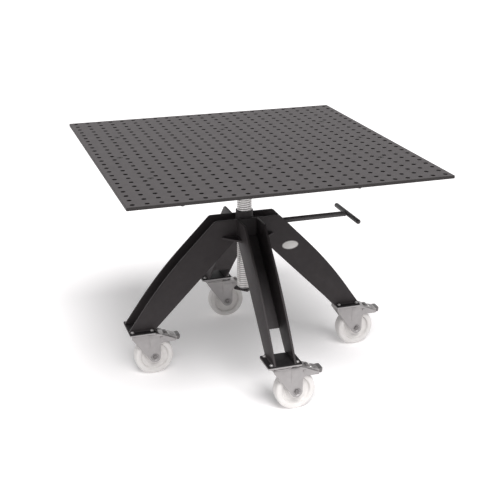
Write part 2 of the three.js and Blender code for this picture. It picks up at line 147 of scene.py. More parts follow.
# Casters, measured from the swivel axis and the floor
TRAIL = 0.055
AXLE_HEIGHT = 0.08
CHEEK_INNER = 0.03
CHEEK_OUTER = 0.035
CROWN_BOTTOM = 0.179
CROWN_TOP = 0.185
CROWN_FRONT = 0.06
CROWN_BEND = 0.007
CROWN_STEPS = 5
CROWN_SPAN = 0.08
TUNNEL_BEND = 0.004
FORK_OUTLINE = [
    (-0.038, CROWN_TOP, 0.0),
    (-0.038, 0.17, 0.004),
    (0.0429, 0.0565, 0.0235),
    (0.0785, 0.0565, 0.0234),
    (0.0785, 0.1425, 0.014),
    (0.147, 0.1425, 0.004),
    (0.145, 0.151, 0.003),
    (0.084, 0.178, 0.006),
    (CROWN_FRONT, CROWN_TOP, 0.0),
]
AXLE_HOLE = 0.0064
AXLE_HOLE_TURN = math.radians(2)
DISH_RADIUS = 0.0165
DISH_FLOOR = 0.0322
DISH_FLARE = 0.003
CUP_OVERLAP = 0.001
AXLE_SEAT = 0.0215
CREASE_X = (0.03, 0.037)
CREASE_Z = (0.118, 0.174)
CREASE_BEND = 0.0034
CREASE_SINK = 0.001
CREASE_HEIGHT = 0.0012

# Swivel: the lower race as (radius, height above the crown's underside), the top plate and the king pin
RACE_BORE = 0.0086
RACE_BOWL = [(0.032, 0.0008), (0.039, 0.0018), (0.044, 0.0042), (0.0464, 0.0068), (0.047, 0.009)]
RACE_TOP = 0.192
RACE_LIP_ACROSS = 0.0008
RACE_LIP_DOWN = 0.0006
UPPER_RACE_RADIUS = 0.046
UPPER_RACE_CHAMFER = 0.001
CASTER_PLATE_BOTTOM = 0.199
CASTER_PLATE_TOP = 0.205
CASTER_CORNER = 0.006
KING_PIN_RADIUS = 0.008
KING_PIN_SHORT = 0.001
KING_NUT_RADIUS = 0.012

# One side of the wheel as (radius, half width), from its bore to the middle of its tread
WHEEL_SIDE = [
    (0.0104, 0.0264), (0.0205, 0.0264), (0.0220, 0.0255), (0.0232, 0.0160), (0.0250, 0.0145),
    (0.0400, 0.0145), (0.0405, 0.0153), (0.0430, 0.0153), (0.0435, 0.0145), (0.0530, 0.0145),
    (0.0550, 0.0160), (0.0580, 0.0240), (0.0597, 0.0250), (0.0725, 0.0250), (0.0758, 0.0238),
    (0.0785, 0.0208), (0.0796, 0.0170), (0.0800, 0.0100),
]

# Axle bolt
AXLE_SLEEVE_RADIUS = 0.01
AXLE_SLACK = 0.0002
AXLE_WASHER_RADIUS = 0.0108
AXLE_WASHER_THICK = 0.001
AXLE_HEX_RADIUS = 0.0092
AXLE_HEAD = 0.0056

# Brake pedal: its side outline as corners (x, z, bend), its tip and lug, the ribs and screws of its tread
PEDAL_PIVOT = (0.084, 0.165)
PEDAL_PIN_RADIUS = 0.005
PEDAL_PIN_PAST = 0.002
PEDAL_HALF_WIDTH = 0.024
PEDAL_END = 0.168
PEDAL_SPAN_Z = (0.1, 0.2)
PEDAL_OUTLINE = [
    (0.076, 0.16, 0.003),
    (0.098, 0.154, 0.004),
    (0.11, 0.151, 0.004),
    (0.14, 0.144, 0.006),
    (0.16, 0.14, 0.004),
    (PEDAL_END, 0.149, 0.004),
    (0.165, 0.16, 0.004),
    (0.147, 0.157, 0.006),
    (0.124, 0.164, 0.006),
    (0.108, 0.172, 0.005),
    (0.076, 0.176, 0.004),
]
PEDAL_WALL = 0.003
PEDAL_HOLLOW_X = 0.09
PEDAL_TIP_X = 0.15
PEDAL_TIP_BEND = 0.016
PEDAL_LUG = [(0.096, 0.168, 0.0), (0.1125, 0.165, 0.0), (0.1125, 0.177, 0.005), (0.099, 0.1795, 0.005)]
PEDAL_LUG_HALF_WIDTH = 0.012
TREAD_RIBS = [(0.129, 0.1624), (0.135, 0.1606), (0.141, 0.1588)]
TREAD_RIB_RADIUS = 0.0014
TREAD_SLOPE = math.radians(22)
PEDAL_SCREWS = [(0.118, -0.012, 0.1672), (0.118, 0.012, 0.1672)]
PEDAL_SCREW_RADIUS = 0.0045
PEDAL_SCREW_HEIGHT = 0.0027
PEDAL_SCREW_SINK = 0.002
PEDAL_SCREW_SIDES = 20
PEDAL_SCREW_STEPS = 5

# Clamp screw
CLAMP_Z = 0.604
CLAMP_THREAD_PITCH = 0.002
CLAMP_THREAD_DEPTH = 0.0012
CLAMP_THREAD_END = 0.17
CLAMP_THREAD_STEP = 0.0001
CLAMP_COLLAR_LONG = 0.003
CLAMP_COLLAR_SWELL = 1.12

# Places of a material's dark, middle and light tone on its noise
WIDE_SPREAD = (0.3, 0.55, 0.8)
PLATE_SPREAD = (0.3, 0.52, 0.75)
ZINC_SPREAD = (0.3, 0.5, 0.75)
NOISE_MIDDLE = (0.3, 0.7)

# Camera and light
CAMERA_PLACE = (-1.1908, -3.63665, 1.96223)
CAMERA_TILT = math.radians(69.557)
CAMERA_TURN = math.radians(-17.869)
CAMERA_LENS = 74.788
WHITE = (1.0, 1.0, 1.0, 1.0)
WORLD_LIGHT = 0.36
WORLD_SEEN = 1.0
KEY_STRENGTH = 3.0
KEY_TILT = math.radians(30)
KEY_TURN = math.radians(-1)
KEY_SPREAD = math.radians(32.5)
FLOOR_REACH = 30.0
FLOOR_COLOUR = (0.935, 0.915, 0.92, 1.0)
FLOOR_LIFT = 0.196


def linear(red, green, blue):
    """An sRGB colour of 0 to 255 as the linear colour that a shader takes."""
    def channel(value):
        share = value / 255
        return share / 12.92 if share <= 0.04045 else ((share + 0.055) / 1.055) ** 2.4
    return (channel(red), channel(green), channel(blue), 1.0)


def add_noise(tree, place, scale, detail, rough):
    node = tree.nodes.new("ShaderNodeTexNoise")
    node.inputs["Scale"].default_value = scale
    node.inputs["Detail"].default_value = detail
    node.inputs["Roughness"].default_value = rough
    tree.links.new(place, node.inputs["Vector"])
    return node.outputs["Fac"]


def stretched(tree, place, scale):
    node = tree.nodes.new("ShaderNodeMapping")
    node.inputs["Scale"].default_value = scale
    tree.links.new(place, node.inputs["Vector"])
    return node.outputs["Vector"]


def ranged(tree, value, low, high):
    """A noise value spread from its middle band to low and high."""
    node = tree.nodes.new("ShaderNodeMapRange")
    node.inputs["From Min"].default_value = NOISE_MIDDLE[0]
    node.inputs["From Max"].default_value = NOISE_MIDDLE[1]
    node.inputs["To Min"].default_value = low
    node.inputs["To Max"].default_value = high
    tree.links.new(value, node.inputs["Value"])
    return node.outputs["Result"]


def add_ramp(tree, value, stops):
    node = tree.nodes.new("ShaderNodeValToRGB")
    ramp = node.color_ramp
    while len(ramp.elements) < len(stops):
        ramp.elements.new(1.0)
    for element, (position, colour) in zip(ramp.elements, stops):
        element.position = position
        element.color = colour
    tree.links.new(value, node.inputs["Fac"])
    return node.outputs["Color"]


def finish_material(name, tones, mottle, grain, rough, bump, metallic=0.0, stretch=(1, 1, 1), specular=0.5,
                    spread=WIDE_SPREAD):
    """A material with mottled colour, uneven gloss and a fine surface grain.

    tones are the sRGB colours of the mottling, spread over its noise, mottle and grain are noise scales per
    metre, rough is the span of roughness and bump the depth of the grain in metres."""
    made = bpy.data.materials.new(name)
    made.use_nodes = True
    tree = made.node_tree
    shader = tree.nodes["Principled BSDF"]
    place = tree.nodes.new("ShaderNodeTexCoord").outputs["Object"]
    along = stretched(tree, place, stretch)
    tone = add_noise(tree, along, mottle, detail=6.0, rough=0.55)
    fine = add_noise(tree, along, grain, detail=4.0, rough=0.65)
    stops = [(position, linear(*colour)) for position, colour in zip(spread, tones)]
    tree.links.new(add_ramp(tree, tone, stops), shader.inputs["Base Color"])
    tree.links.new(ranged(tree, fine, *rough), shader.inputs["Roughness"])
    relief = tree.nodes.new("ShaderNodeBump")
    relief.inputs["Strength"].default_value = 1.0
    relief.inputs["Distance"].default_value = bump
    tree.links.new(fine, relief.inputs["Height"])
    tree.links.new(relief.outputs["Normal"], shader.inputs["Normal"])
    shader.inputs["Metallic"].default_value = metallic
    shader.inputs["Specular IOR Level"].default_value = specular
    return made


def table_steel():
    return dict(tones=[(66, 62, 63), (70, 66, 67), (75, 71, 72)], mottle=26, grain=900, rough=(0.5, 0.64),
                bump=0.00002, specular=0.25, spread=PLATE_SPREAD)


def edge_shade_and_screw_steel():
    """Painted shade on the plate's cut sides, which are darker than its top because less light falls on
    them; also the dark steel of the screws sunk in it.
    """
    return dict(tones=[(42, 39, 39), (47, 44, 44), (53, 50, 49)], mottle=70, grain=900, rough=(0.5, 0.64),
                bump=0.00003, specular=0.25, spread=PLATE_SPREAD)


def hole_wall_painted_shade():
    """Painted shade on the unlit cut walls of the plate's holes and recesses."""
    return dict(tones=[(22, 20, 20), (26, 24, 24), (31, 29, 29)], mottle=90, grain=900, rough=(0.55, 0.7),
                bump=0.00003, specular=0.1, spread=PLATE_SPREAD)


def black_paint():
    return dict(tones=[(52, 48, 49), (55, 51, 52), (59, 55, 56)], mottle=30, grain=1400,
                rough=(0.45, 0.58), bump=0.00004, specular=0.2)


def foot_painted_shade():
    """Black paint of the foot plates, darkened with painted shade where they sit in shadow between the
    legs' plates.
    """
    return dict(tones=[(26, 24, 25), (31, 29, 30), (38, 36, 36)], mottle=60, grain=1400,
                rough=(0.5, 0.62), bump=0.00004, specular=0.15)


def screw_steel():
    return dict(tones=[(230, 228, 227), (236, 234, 233), (241, 239, 238)], mottle=60, grain=1200,
                rough=(0.3, 0.44), bump=0.00001, metallic=0.5)


def rod_paint_painted_light():
    """Black paint of the clamp screw, glossier than the stand's, in a lighter tone that is painted light
    for a rod in the table's shadow.
    """
    return dict(tones=[(62, 59, 60), (68, 65, 66), (75, 72, 73)], mottle=60, grain=1400,
                rough=(0.36, 0.48), bump=0.00003, specular=0.4)


def thread_groove_shade():
    """Painted shade in the groove of the spindle's thread."""
    return dict(tones=[(150, 148, 147), (162, 160, 159), (174, 172, 171)], mottle=60, grain=1200,
                rough=(0.3, 0.44), bump=0.00001, metallic=0.3)


def zinc_steel():
    return dict(tones=[(161, 158, 158), (165, 162, 162), (170, 167, 167)], mottle=40, grain=1600,
                rough=(0.4, 0.5), bump=0.000005, metallic=0.6, spread=ZINC_SPREAD)


def lever_zinc():
    return dict(tones=[(140, 137, 137), (158, 155, 155), (178, 175, 175)], mottle=110, grain=1600,
                rough=(0.3, 0.44), bump=0.00001, metallic=0.7, spread=ZINC_SPREAD)


def bolt_steel():
    return dict(tones=[(112, 109, 109), (124, 121, 121), (138, 135, 135)], mottle=160, grain=2000,
                rough=(0.22, 0.32), bump=0.00001, metallic=0.9, spread=ZINC_SPREAD)


def pedal_tip_shade_zinc():
    """Darker zinc of the pedal's turned-up end and its lug, painted shade for a steel end in shadow."""
    return dict(tones=[(98, 95, 95), (112, 109, 109), (128, 125, 125)], mottle=120, grain=1600,
                rough=(0.36, 0.5), bump=0.00002, metallic=0.4, spread=ZINC_SPREAD)


def bright_zinc():
    return dict(tones=[(196, 195, 192), (212, 211, 208), (226, 225, 222)], mottle=220, grain=2200,
                rough=(0.22, 0.34), bump=0.00001, metallic=0.9)


def wheel_nylon():
    return dict(tones=[(220, 217, 215), (225, 222, 220), (230, 227, 225)], mottle=45, grain=1300,
                rough=(0.38, 0.5), bump=0.00002)


def badge_face():
    return dict(tones=[(214, 213, 210), (222, 221, 218), (229, 228, 225)], mottle=160, grain=2600,
                rough=(0.3, 0.42), bump=0.000006, stretch=(0.2, 1, 1))


def badge_rim():
    return dict(tones=[(128, 126, 124), (144, 142, 140), (158, 156, 154)], mottle=160, grain=2600,
                rough=(0.3, 0.4), bump=0.000006, metallic=0.7)


def pad_brass():
    return dict(tones=[(168, 134, 66), (182, 148, 76), (196, 162, 90)], mottle=120, grain=1800,
                rough=(0.3, 0.44), bump=0.00001, metallic=0.9)


FINISH = {make.__name__: finish_material(make.__name__, **make()) for make in (
    table_steel, edge_shade_and_screw_steel, hole_wall_painted_shade, black_paint, foot_painted_shade, rod_paint_painted_light, screw_steel, thread_groove_shade,
    zinc_steel, lever_zinc, bolt_steel, pedal_tip_shade_zinc, bright_zinc, wheel_nylon, badge_face, badge_rim,
    pad_brass)}


def linked(name, data):
    """A new object in the scene."""
    made = bpy.data.objects.new(name, data)
    bpy.context.scene.collection.objects.link(made)
    return made


def add_piece(name, mesh, finish, body, replaced=(), place=(0, 0, 0)):
    """A piece at its place that rides a body, takes a finish and stands for CAD nodes."""
    made = linked(name, mesh)
    made.location = place
    if not mesh.materials:
        mesh.materials.append(FINISH[finish])
    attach(made, body)
    if replaced:
        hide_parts(*replaced)


def add_form(name, form, finish, body, replaced=(), bevel=0.0, steps=BEVEL_STEPS):
    """A piece whose mesh is its own."""
    add_piece(name, to_mesh(name, form, bevel, steps), finish, body, replaced)


def plain_mesh(name, form):
    """The form as a mesh, and the form itself freed."""
    mesh = bpy.data.meshes.new(name)
    form.to_mesh(mesh)
    form.free()
    return mesh


def to_mesh(name, form, bevel=0.0, steps=BEVEL_STEPS):
    """The form as a mesh with rounded edges and smooth shading between its sharp ones."""
    if bevel:
        softened(form, bevel, steps)
    bmesh.ops.remove_doubles(form, verts=form.verts, dist=MERGE)
    bmesh.ops.recalc_face_normals(form, faces=form.faces)
    mesh = plain_mesh(name, form)
    mesh.shade_smooth()
    mesh.set_sharp_from_angle(angle=SHARP_ANGLE)
    return mesh


def is_sharp(edge):
    return len(edge.link_faces) == 2 and edge.calc_face_angle() > SHARP_ANGLE


def softened(form, width, steps=BEVEL_STEPS):
    """The form with its sharp edges rounded, after slivers too short for that are merged."""
    bmesh.ops.remove_doubles(form, verts=form.verts, dist=SLIVER)
    bmesh.ops.recalc_face_normals(form, faces=form.faces)
    bevel_edges(form, [edge for edge in form.edges if is_sharp(edge)], width, steps)
    return form


def bevel_edges(form, edges, width, steps):
    bmesh.ops.bevel(form, geom=edges, offset=width, segments=steps, profile=0.5, affect="EDGES",
                    clamp_overlap=False)


def rounded(corners, steps=ARC_STEPS):
    """Points of an outline through corners (x, y, bend), each turned by an arc of its bend."""
    points = []
    for i, (x, y, bend) in enumerate(corners):
        corner = Vector((x, y))
        if not bend:
            points.append(corner)
            continue
        before = (Vector(corners[i - 1][:2]) - corner).normalized()
        after = (Vector(corners[(i + 1) % len(corners)][:2]) - corner).normalized()
        half = before.angle(after) / 2
        centre = corner + (before + after).normalized() * (bend / math.sin(half))
        reach = bend / math.tan(half)
        first = corner + before * reach - centre
        sweep = first.angle_signed(corner + after * reach - centre)
        for step in range(steps + 1):
            points.append(centre + Matrix.Rotation(-sweep * step / steps, 2) @ first)
    return points


def rectangle(x0, x1, y0, y1, bend, steps):
    """Outline of a rectangle with rounded corners."""
    return rounded([(x0, y0, bend), (x1, y0, bend), (x1, y1, bend), (x0, y1, bend)], steps)


def extruded(outline, low, high, axis="Y"):
    """A plate between two planes across an axis, from an outline in the other two axes."""
    spread = {
        "X": lambda p, level: (level, p[0], p[1]),
        "Y": lambda p, level: (p[0], level, p[1]),
        "Z": lambda p, level: (p[0], p[1], level),
    }[axis]
    form = bmesh.new()
    ends = [[form.verts.new(spread(point, level)) for point in outline] for level in (low, high)]
    for ring in ends:
        form.faces.new(ring)
    for i in range(len(outline)):
        form.faces.new((ends[0][i - 1], ends[0][i], ends[1][i], ends[1][i - 1]))
    bmesh.ops.recalc_face_normals(form, faces=form.faces)
    return form


def turned(profile, sides=ROUND, axis="Z"):
    """A turned form from profile points (radius, height) about an axis through the origin."""
    form = bmesh.new()
    rings = []
    for radius, height in profile:
        count = 1 if radius == 0 else sides
        angles = [2 * math.pi * i / sides for i in range(count)]
        rings.append([form.verts.new((radius * math.cos(a), radius * math.sin(a), height)) for a in angles])
    for low, high in zip(rings, rings[1:] + rings[:1]):
        if len(low) == len(high) == 1:
            continue
        for i in range(sides):
            corners = [(low, i - 1), (low, i), (high, i), (high, i - 1)]
            form.faces.new(list(dict.fromkeys(ring[k % len(ring)] for ring, k in corners)))
    turn = {
        "X": Matrix.Rotation(math.pi / 2, 4, "Y"),
        "Y": Matrix.Rotation(-math.pi / 2, 4, "X"),
        "Z": Matrix(),
    }[axis]
    bmesh.ops.transform(form, matrix=turn, verts=form.verts)
    bmesh.ops.recalc_face_normals(form, faces=form.faces)
    return form


def threaded(radius, depth, pitch, low, high, sides=THREAD_SIDES):
    """A threaded rod along Z: a sheared tube whose rows follow the helix, cut flat at both ends."""
    root = radius - depth
    crest = THREAD_CREST
    flank = THREAD_FLANK
    profile = [(0.0, root), (1 - crest - 2 * flank, root), (1 - crest - flank, radius), (1 - flank, radius)]
    turns = math.ceil((high - low) / pitch) + 2
    form = bmesh.new()
    rows = [(turn + share, reach) for turn in range(turns + 1) for share, reach in profile]
    columns = []
    for i in range(sides):
        angle = 2 * math.pi * i / sides
        columns.append([
            form.verts.new((reach * math.cos(angle), reach * math.sin(angle),
                            low - pitch + pitch * (row - 0.5 + i / sides)))
            for row, reach in rows])
    for i in range(sides):
        last = i == sides - 1
        shift = len(profile) if last else 0
        near = columns[i]
        far = columns[0 if last else i + 1]
        for j in range(len(rows) - 1 - shift):
            form.faces.new((near[j], far[j + shift], far[j + 1 + shift], near[j + 1]))
    for level, normal in ((low, (0, 0, -1)), (high, (0, 0, 1))):
        everything = form.verts[:] + form.edges[:] + form.faces[:]
        bmesh.ops.bisect_plane(form, geom=everything, dist=CUT_DISTANCE, plane_co=(0, 0, level),
                               plane_no=normal, clear_outer=True)
        bmesh.ops.edgenet_fill(form, edges=[edge for edge in level_edges(form, level) if edge.is_boundary])
    return form


def level_edges(form, level):
    """Edges of the form that lie at one height."""
    return [edge for edge in form.edges if all(abs(vert.co.z - level) < MERGE for vert in edge.verts)]


def pin_form(radius, low, high, axis="Z"):
    """A round pin along an axis."""
    return turned([(0, low), (radius, low), (radius, high), (0, high)], SMALL_ROUND, axis)


def dome_profile(radius, low, high, steps):
    """Profile points of a dome, from its rim up to its middle."""
    angles = [math.pi / 2 * k / steps for k in range(steps)]
    return [*[(radius * math.cos(a), low + (high - low) * math.sin(a)) for a in angles], (0, high)]


def hexagon(radius, low, high):
    """A hexagon head along Z with its upper rim chamfered."""
    angles = [math.pi / 3 * i for i in range(6)]
    form = extruded([(radius * math.cos(a), radius * math.sin(a)) for a in angles], low, high, "Z")
    bevel_edges(form, level_edges(form, high), BODY_BEVEL, FINE_STEPS)
    return form


def joined(*forms):
    """Several closed forms in one, each on its own."""
    whole = bmesh.new()
    for form in forms:
        part = plain_mesh("part", form)
        whole.from_mesh(part)
        bpy.data.meshes.remove(part)
    return whole


def moved(form, x=0.0, y=0.0, z=0.0):
    bmesh.ops.translate(form, verts=form.verts, vec=(x, y, z))
    return form


def rotated(form, angle, axis):
    bmesh.ops.rotate(form, verts=form.verts, cent=(0, 0, 0), matrix=Matrix.Rotation(angle, 3, axis))
    return form


def combined(base, tools, operation):
    """The base form after each tool form is cut away, joined or kept in common."""
    body = linked("work", plain_mesh("work", base))
    for tool in tools:
        cutter = linked("tool", plain_mesh("tool", tool))
        cut = body.modifiers.new("cut", "BOOLEAN")
        cut.operation = operation
        cut.solver = "EXACT"
        cut.object = cutter
        result = bpy.data.meshes.new_from_object(body.evaluated_get(bpy.context.evaluated_depsgraph_get()))
        body.modifiers.clear()
        body.data = result
        bpy.data.objects.remove(cutter)
    form = bmesh.new()
    form.from_mesh(body.data)
    bpy.data.objects.remove(body)
    bmesh.ops.dissolve_limit(form, angle_limit=FLAT_ANGLE, verts=form.verts, edges=form.edges)
    return form


def block(x0, x1, y0, y1, z0, z1):
    return extruded([(x0, z0), (x1, z0), (x1, z1), (x0, z1)], y0, y1)


def weld_bead(start, end, radius=WELD_RADIUS):
    """A rippled weld bead from one point to another."""
    start = Vector(start)
    run = Vector(end) - start
    steps = max(WELD_TAPER, round(run.length / (WELD_RIPPLE / 2)))
    angles = [2 * math.pi * k / WELD_SIDES for k in range(WELD_SIDES)]
    side = run.orthogonal().normalized()
    up = run.cross(side).normalized()
    form = bmesh.new()
    rings = []
    for step in range(steps + 1):
        taper = math.sin(math.pi * min(1.0, WELD_TIP + min(step, steps - step) / WELD_TAPER) / 2)
        swell = radius * taper * (1.0 if step % 2 else WELD_DIP)
        centre = start + run * step / steps
        rings.append([form.verts.new(centre + (side * math.cos(a) + up * math.sin(a)) * swell)
                      for a in angles])
    for near, far in zip(rings, rings[1:]):
        for k in range(WELD_SIDES):
            form.faces.new((near[k - 1], near[k], far[k], far[k - 1]))
    form.faces.new(rings[0])
    form.faces.new(rings[-1])
    return form


def plate_cells(half):
    """Hole lines of the plate with its two edges, along one axis."""
    first = HOLE_PITCH / 2
    count = int(half / HOLE_PITCH)
    inner = [first + HOLE_PITCH * i for i in range(-count, count)]
    return [-half, *inner, half]


def build_top_plate():
    """The perforated plate, made of cells between its hole centres."""
    low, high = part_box("top_plate")
    half = high.x
    lines = plate_cells(half)
    screws = screw_places()
    form = bmesh.new()
    known = {}

    def vert(x, y, z):
        key = (round(x, KEY_DIGITS), round(y, KEY_DIGITS), round(z, KEY_DIGITS))
        if key not in known:
            known[key] = form.verts.new((x, y, z))
        return known[key]

    def inset(value, by):
        return math.copysign(half - by, value) if abs(value) > half - by else value

    def cell_outline(x0, x1, y0, y1, radius, edge):
        """Outline of the cell between four hole centres, with a quarter hole at each."""
        outline = []
        for x, y, start in ((x0, y0, 90), (x1, y0, 180), (x1, y1, 270), (x0, y1, 0)):
            if half in (abs(x), abs(y)):
                outline.append((inset(x, edge), inset(y, edge)))
                continue
            for step in range(HOLE_QUARTER_STEPS + 1):
                angle = math.radians(start - 90 * step / HOLE_QUARTER_STEPS)
                outline.append((x + radius * math.cos(angle), y + radius * math.sin(angle)))
        return outline

    levels = [
        (high.z, HOLE_RADIUS + HOLE_CHAMFER, PLATE_CHAMFER),
        (high.z - HOLE_CHAMFER, HOLE_RADIUS, 0.0),
        (low.z + HOLE_CHAMFER, HOLE_RADIUS, 0.0),
        (low.z, HOLE_RADIUS + HOLE_CHAMFER, PLATE_CHAMFER),
    ]
    for x0, x1 in zip(lines, lines[1:]):
        for y0, y1 in zip(lines, lines[1:]):
            rings = []
            for z, radius, edge in levels:
                rings.append([vert(x, y, z) for x, y in cell_outline(x0, x1, y0, y1, radius, edge)])
            centre = ((x0 + x1) / 2, (y0 + y1) / 2)
            if any(math.dist(centre, place) < SLIVER for place in screws):
                add_countersink(form, rings[0], centre, high.z)
            else:
                form.faces.new(rings[0])
            form.faces.new(rings[-1][::-1])
            add_cell_walls(form, rings, half)
    mesh = to_mesh("top_plate_look", form)
    dress_plate(mesh, half - 2 * PLATE_CHAMFER)
    add_piece("top_plate_look", mesh, "table_steel", "table_top", ["top_plate"])
    build_plate_screws(screws, high.z)


def dress_plate(mesh, side):
    """Give the plate's flat faces their steel, and painted shade to its sides and its hole walls."""
    for finish in ("table_steel", "edge_shade_and_screw_steel", "hole_wall_painted_shade"):
        mesh.materials.append(FINISH[finish])
    # Flat faces keep the steel; the sides and the hole walls take painted shade.
    for face in mesh.polygons:
        at_edge = max(abs(face.center.x), abs(face.center.y)) > side
        face.material_index = 0 if abs(face.normal.z) > FLAT_FACE else 1 if at_edge else 2


def screw_places():
    """Where the plate's screws stand over its bars, as (x, y)."""
    outer_y = [sum(corner.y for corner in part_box(f"support_bar_{bar}")) / 2 for bar in ("front", "rear")]
    places = [(x, y) for y in outer_y for x in SCREWS_ON_OUTER_BARS]
    return places + [(x, 0.0) for x in SCREWS_ON_MIDDLE_BAR]


def add_cell_walls(form, rings, half):
    """Walls of a cell: the quarter holes at its corners and the plate's own edges."""
    chord = HOLE_RADIUS * math.pi / 2 / HOLE_QUARTER_STEPS
    for k in range(len(rings[0])):
        a = rings[1][k - 1].co
        b = rings[1][k].co
        on_edge = any(abs(abs(a[axis]) - half) < MERGE and abs(a[axis] - b[axis]) < MERGE
                      for axis in (0, 1))
        on_hole = (a - b).length < chord * CHORD_SLACK
        if not (on_edge or on_hole):
            continue
        for upper, lower in zip(rings, rings[1:]):
            form.faces.new((upper[k], upper[k - 1], lower[k - 1], lower[k]))


def add_countersink(form, ring, centre, top):
    """A round conical recess for a screw head in the middle of a cell."""
    x, y = centre
    count = len(ring)
    step = 2 * math.pi / count
    first = CELL_FIRST_CORNER - step * (count / 4 - 1) / 2
    angles = [first + step * k for k in range(count)]
    loops = [ring]
    for radius, z in ((SCREW_RADIUS + SCREW_RIM, top), (SCREW_RADIUS / 2, top - SCREW_DEPTH)):
        loops.append([form.verts.new((x + radius * math.cos(a), y + radius * math.sin(a), z))
                      for a in angles])
    for outer, inner in zip(loops, loops[1:]):
        for k in range(count):
            form.faces.new((outer[k - 1], outer[k], inner[k], inner[k - 1]))
    form.faces.new(loops[-1])


def build_plate_screws(places, top):
    """Countersunk socket screws that hold the plate on its bars."""
    rim = SCREW_RADIUS - SCREW_RIM
    tip = SCREW_RADIUS / 2 - SCREW_RIM
    cone = [(0, -SCREW_DEPTH), (tip, -SCREW_DEPTH), (rim, -SCREW_RIM), (rim, 0), (0, 0)]
    socket = hexagon(SOCKET_RADIUS, -SOCKET_DEPTH, SOCKET_DEPTH)
    form = combined(turned(cone, SMALL_ROUND), [socket], "DIFFERENCE")
    mesh = to_mesh("plate_screw", moved(form, z=-SCREW_RIM / 2))
    for i, (x, y) in enumerate(places):
        add_piece(f"plate_screw_{i + 1}", mesh, "edge_shade_and_screw_steel", "table_top", place=(x, y, top))


def build_spindle():
    """The screw of the column, with painted shade in its groove."""
    low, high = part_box("spindle")
    form = threaded(high.x, THREAD_DEPTH, THREAD_PITCH, low.z, high.z)
    mesh = to_mesh("spindle_thread", form)
    for finish in ("screw_steel", "thread_groove_shade"):
        mesh.materials.append(FINISH[finish])
    # Faces deeper than the groove radius take the painted shade.
    groove = high.x - GROOVE_SHARE * THREAD_DEPTH
    for face in mesh.polygons:
        reach = max(math.hypot(*mesh.vertices[corner].co.xy) for corner in face.vertices)
        face.material_index = 1 if reach < groove else 0
    add_piece("spindle_thread", mesh, "screw_steel", "table_top", ["spindle"])


def build_column_head():
    """The flanged socket that holds the screw under the table top."""
    low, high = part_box("spindle_head")
    flange_low = high.z - FLANGE_THICK
    tube = HEAD_TUBE_RADIUS
    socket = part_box("spindle")[1].x + LEG_GAP
    profile = [(0, high.z), (high.x, high.z), (high.x, flange_low), (tube, flange_low), (tube, low.z),
               (socket, low.z), (socket, flange_low), (0, flange_low)]
    add_form("column_head", turned(profile), "black_paint", "table_top", ["spindle_head"], PLATE_BEVEL)


def build_stop_bolt():
    """The bolt with a washer that holds the end stop under the screw."""
    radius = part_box("stop_screw")[1].x
    washer = pin_form(radius, 0, -WASHER_THICK)
    head = rotated(hexagon(radius * STOP_HEX_SHARE, WASHER_THICK, STOP_HEAD), math.pi, "X")
    mesh = to_mesh("stop_bolt", joined(washer, head), BOLT_BEVEL, FINE_STEPS)
    stop_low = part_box("end_stop")[0].z
    add_piece("stop_bolt", mesh, "bright_zinc", "table_top", ["stop_screw"], (0, 0, stop_low - LEG_GAP))


def build_nut():
    """The nut's sleeve in the hub, with its collar and the hole of the clamp."""
    low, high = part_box("spindle_nut")
    outer = high.x
    collar = NUT_COLLAR_RADIUS
    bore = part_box("spindle")[1].x + THREAD_CLEARANCE
    profile = [(bore, low.z), (outer, low.z), (outer, HUB_TOP), (collar, HUB_TOP), (collar, high.z),
               (bore, high.z)]
    drill = pin_form(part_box("clamp_pad")[1].y + RUNNING, 0, LEG_OUTER, "X")
    sleeve = softened(turned(profile), BODY_BEVEL)
    form = combined(sleeve, [moved(drill, z=CLAMP_Z)], "DIFFERENCE")
    add_form("nut_sleeve", form, "black_paint", "stand", ["spindle_nut"])


def leg_half(root):
    """Corners of one leg's outline, from the hub's top round to its bottom."""
    return [*LEG_OUTER_EDGE, *LEG_INNER_EDGE, (root, HUB_BOTTOM, 0.0)]


def build_leg_plates():
    half = leg_half(LEG_OUTER)
    arch = rounded([*half, *[(-r, z, bend) for r, z, bend in reversed(half)]])
    for name, low, high in (("front", -LEG_OUTER, -LEG_INNER), ("rear", LEG_INNER, LEG_OUTER)):
        form = extruded(arch, low, high)
        add_form(f"arch_{name}", form, "black_paint", "stand", [f"arch_plate_{name}"], PLATE_BEVEL)
    root = LEG_OUTER + LEG_GAP
    leg = rounded([(root, HUB_TOP, 0.0), *leg_half(root)])
    for name, turn in (("rear", math.pi / 2), ("front", -math.pi / 2)):
        for side, low, high in (("a", -LEG_OUTER, -LEG_INNER), ("b", LEG_INNER, LEG_OUTER)):
            form = rotated(extruded(leg, low, high), turn, "Z")
            node = f"leg_plate_{name}_{side}"
            add_form(f"leg_{name}_{side}", form, "black_paint", "stand", [node], PLATE_BEVEL)


def build_foot_plates():
    """Foot plates with rounded corners, welded under the legs."""
    for name in LEGS:
        low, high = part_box(f"foot_plate_{name}")
        outline = rectangle(low.x, high.x, low.y, high.y, FOOT_CORNER, steps=6)
        form = extruded(outline, low.z, high.z, "Z")
        # The foot plates take paint darkened with painted shade.
        add_form(f"foot_pad_{name}", form, "foot_painted_shade", "stand", [f"foot_plate_{name}"], PLATE_BEVEL)


